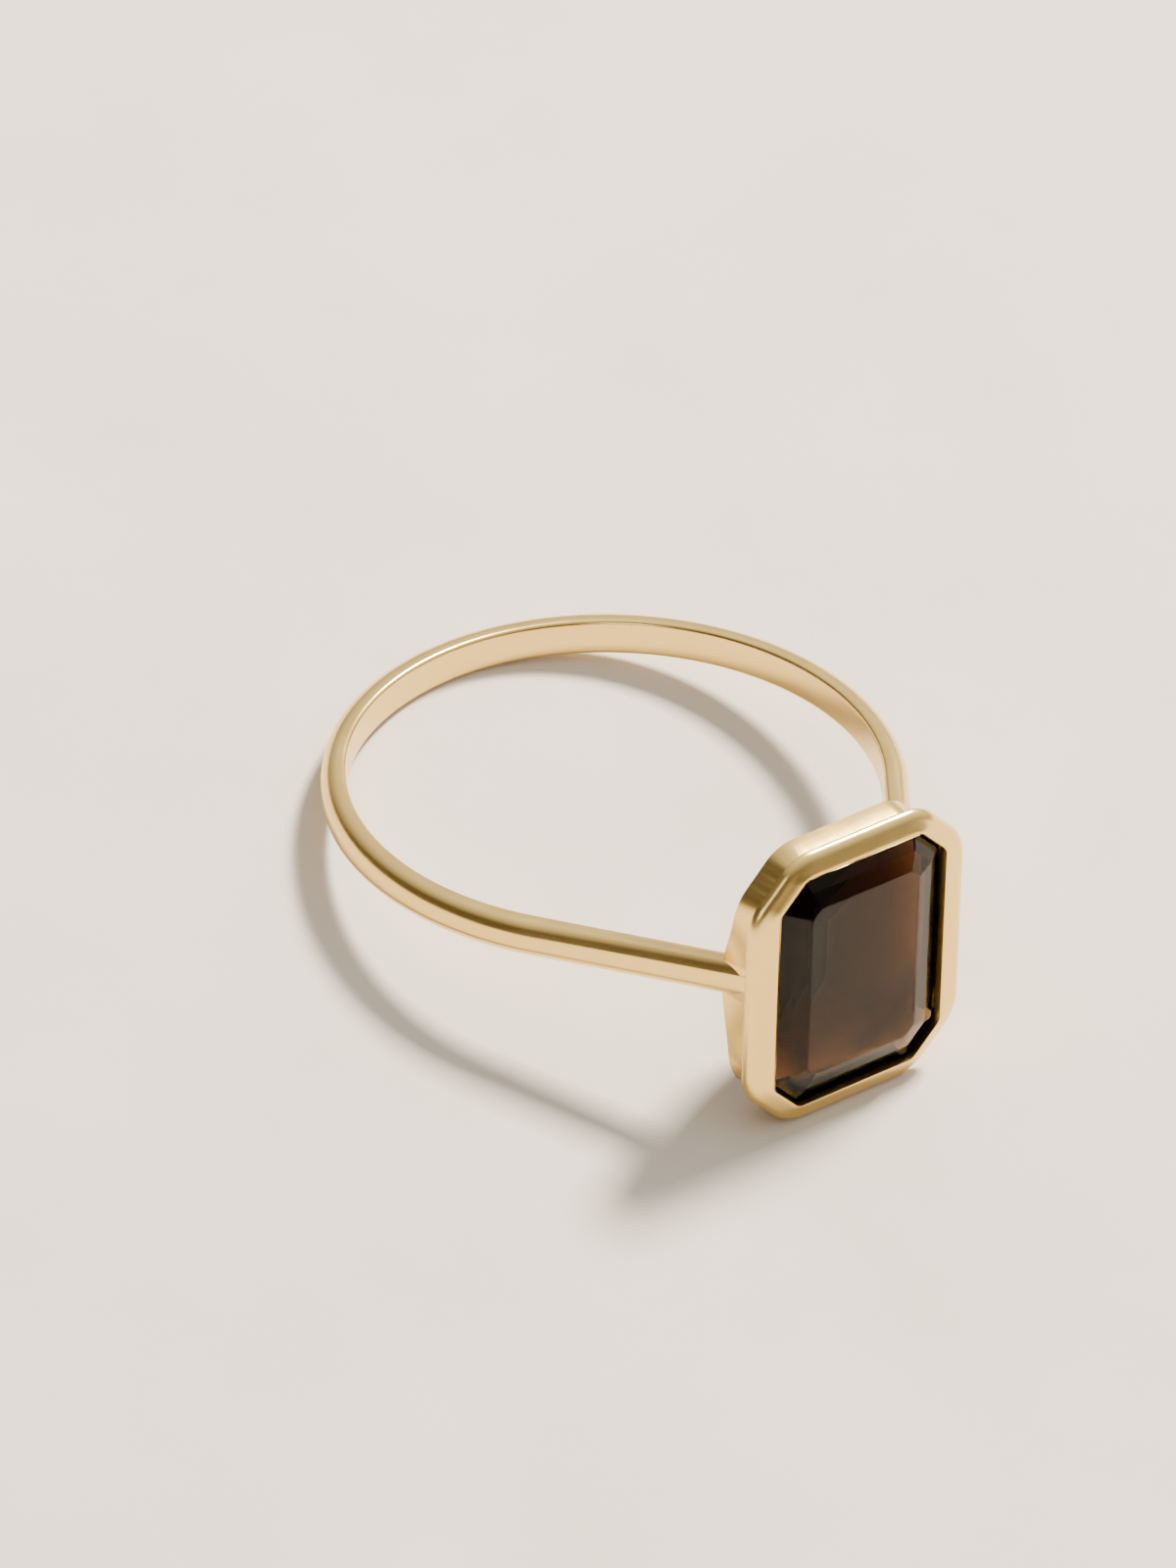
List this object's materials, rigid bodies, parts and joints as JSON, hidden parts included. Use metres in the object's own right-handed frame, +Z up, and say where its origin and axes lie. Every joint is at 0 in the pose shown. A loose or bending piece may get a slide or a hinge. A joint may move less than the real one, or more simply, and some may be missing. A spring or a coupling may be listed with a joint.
{
  "type": "stackable ring",
  "caption": "Slim gold ring with an open-backed bezel that holds an emerald-cut smoky quartz, lying on its side.",
  "frame": {"origin": "on the surface that the ring lies on, under the middle of its box", "axes": "+Z up from the surface; +X across the finger hole and the stone; the stone faces -Y and about 12 degrees up, because the ring lies tipped back on its setting"},
  "size_m": [0.0188, 0.0226, 0.0099],
  "materials": {
    "gold": "satin polish",
    "quartz": "polished facets"
  },
  "bodies": {
    "root": {"gold_mount": "gold", "smoky_quartz": "quartz"}
  },
  "joints": []
}
